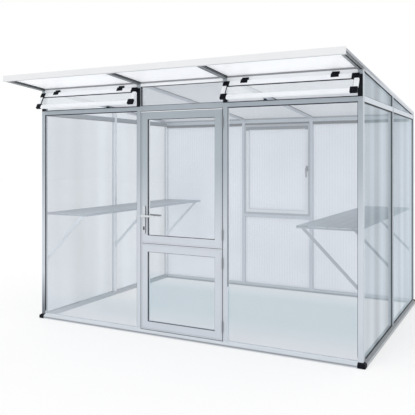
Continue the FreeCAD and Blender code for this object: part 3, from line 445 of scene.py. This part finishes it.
# Materials: one for each slot of the record, and own ones where a piece looks different. Most own
# ones carry painted light and shade, many as lighter or darker copies of the same finish.

# Painted light and reflection: a pale copy of the aluminium that glows, for the front header and
# the vent frames
painted_light_metal = material("painted_light_aluminium", (0.86, 0.88, 0.90), roughness=0.5, metallic=0.1,
                      spread=0.01, bump=0.03, glow=0.1)
leaf_metal = bar_metal("leaf_aluminium", (0.585, 0.62, 0.675), leaf_shades)
# Painted shade: the rafters are a darker copy of the aluminium
rafter_metal = bar_metal("rafter_aluminium", (0.34, 0.36, 0.38), rafter_shades)
hinge_metal = bar_metal("hinge_metal", (0.24, 0.26, 0.28), hinge_shades)
side_glass = glass_material("side_glass", (0.98, 0.98, 0.99), veil=(0.50, 0.58, 0.63),
                            veil_share=0.08, low_angle_share=0.42, streak_spread=0.32)
# The vents' glass has a paler and stronger veil: painted reflection
vent_glass = glass_material("vent_glass", (0.97, 0.98, 0.985), veil=(0.86, 0.89, 0.92),
                            veil_share=0.25, low_angle_share=0.6)

looks = {
    "bare_aluminium": bar_metal("bare_aluminium", bar_grey, bar_shades),
    "grey_coated_metal": coated_metal("grey_coated_metal", (0.40, 0.45, 0.50), shelf_shades),
    "dull_steel": material("dull_steel", (0.30, 0.31, 0.33), roughness=0.35, metallic=0.8),
    "rubber_seal": soft_black("rubber_seal"),
    "black_plastic": hard_black("black_plastic"),
    "twin_wall_sheet": twin_wall("twin_wall_sheet", (0.90, 0.915, 0.945), contrast=0.07,
                                 glow=0.25, through_share=0.5),
    "clear_glass": glass_material("clear_glass", (0.97, 0.98, 0.985), veil=(0.68, 0.71, 0.76),
                                  veil_share=0.12, low_angle_share=0.5,
                                  shades=glass_shades, tints=glass_tints),
}
own_looks = {
    "corner_posts": bar_metal("corner_aluminium", bar_grey, corner_shades),
    "door_posts": bar_metal("door_post_aluminium", bar_grey, door_post_shades),
    "transoms": bar_metal("transom_aluminium", bar_grey, transom_shades),
    # The sills, the eave beam and the verge caps are lighter and darker copies of the aluminium:
    # painted light and shade
    "base_rails_front_back": bar_metal("sill_aluminium", (0.66, 0.70, 0.74), sill_shades),
    "base_rails_side": bar_metal("side_sill_aluminium", (0.45, 0.48, 0.51), side_sill_shades),
    "back_eave_beam": bar_metal("eave_aluminium", (0.66, 0.71, 0.76), eave_shades),
    "verge_caps": bar_metal("verge_aluminium", (0.38, 0.41, 0.45), verge_shades),
    "rafters_middle": rafter_metal,
    "rafters_verge": rafter_metal,
    # The underside of the overhang glows more: painted light
    "roof_sheets": twin_wall("roof_twin_wall", (0.92, 0.925, 0.94), contrast=0.04, glow=0.08,
                             through_share=0.3, under_glow=0.28),
    "roof_seals": soft_black("roof_seal", roof_seal_shades),
    # The fascia is paler than the bars
    "fascia_rail": material("pale_fascia_metal", (0.74, 0.75, 0.76), roughness=0.5,
                            spread=0.01, bump=0.05),
    "front_header": painted_light_metal,
    "vent_left_frame": painted_light_metal,
    "vent_right_frame": painted_light_metal,
    "vent_left_glass": vent_glass,
    "vent_right_glass": vent_glass,
    "side_glass": side_glass,
    "gable_glass": side_glass,
    "wall_gaskets": soft_black("wall_gasket", wall_gasket_shades),
    "door_upper_frame": leaf_metal,
    "door_lower_frame": leaf_metal,
    "door_lower_gasket": soft_black("low_gasket", low_gasket_shades),
    "door_lever": material("polished_lever", (0.66, 0.68, 0.70), roughness=0.25, metallic=0.7,
                           spread=0.02, shades=lever_shades),
    "door_lock": material("lock_aluminium", (0.60, 0.63, 0.67), roughness=0.35, metallic=0.4,
                          spread=0.02, shades=lock_shades),
    "door_upper_hinges": hinge_metal,
    "door_lower_hinges": hinge_metal,
    "hinge_frame_halves": hinge_metal,
    "opening_stops": hard_black("stop_plastic", stop_shades),
    # Painted light: the window frame glows a little
    "window_frame": material("window_aluminium", (0.64, 0.67, 0.71), roughness=0.5, spread=0.01,
                             bump=0.05, glow=0.08, shades=window_shades),
    "window_gasket": material("pale_seal", (0.70, 0.72, 0.74), roughness=0.6, spread=0.05,
                              bump=0.1),
    "window_hinges": hinge_metal,
    "shelf_braces": coated_metal("brace_metal", (0.80, 0.84, 0.88), brace_shades),
}
for part in frame["record"]["subparts"]:
    cad = frame["nodes"][part["node"]]
    cad.data.materials.clear()
    cad.data.materials.append(own_looks.get(part["node"], looks[part["material_slot"]]))


# Floor, light and camera

bpy.ops.mesh.primitive_plane_add(size=60, location=(0, 0, -0.001))
floor = bpy.context.object
floor.name = "floor"
floor_look, tree = new_tree("floor_white")
shader = tree.nodes["Principled BSDF"]
shader.inputs["Base Color"].default_value = (0.95, 0.95, 0.95, 1)
shader.inputs["Roughness"].default_value = 0.9
white = tree.nodes.new("ShaderNodeEmission")
share = map_range(tree, seen_rays(tree), 0, 1, 0, floor_white_share)
show(tree, mixed(tree, share, shader.outputs["BSDF"], white.outputs["Emission"]))
floor.data.materials.append(floor_look)

world = bpy.data.worlds.new("studio")
bpy.context.scene.world = world
world.use_nodes = True
tree = world.node_tree
background = tree.nodes["Background"]
background.inputs["Color"].default_value = (1, 1, 1, 1)
strength = map_range(tree, seen_rays(tree), 0, 1, sky_on_object, sky_seen)
feed(tree, strength, background.inputs["Strength"])

sun_data = bpy.data.lights.new("key", "SUN")
sun_data.energy = 0.6
sun_data.angle = math.radians(30)
sun = bpy.data.objects.new("key", sun_data)
bpy.context.scene.collection.objects.link(sun)
sun.rotation_euler = (math.radians(45), 0, math.radians(-20))

camera_data = bpy.data.cameras.new("camera")
camera_data.lens = 52.53
camera_data.sensor_width = 36.0
camera_data.shift_y = -0.1163
camera = bpy.data.objects.new("camera", camera_data)
bpy.context.scene.collection.objects.link(camera)
camera.location = (2.611, -4.512, 1.544)
camera.rotation_euler = (math.radians(90), 0, math.radians(27.59))
bpy.context.scene.camera = camera
bpy.context.scene.view_settings.view_transform = "Standard"
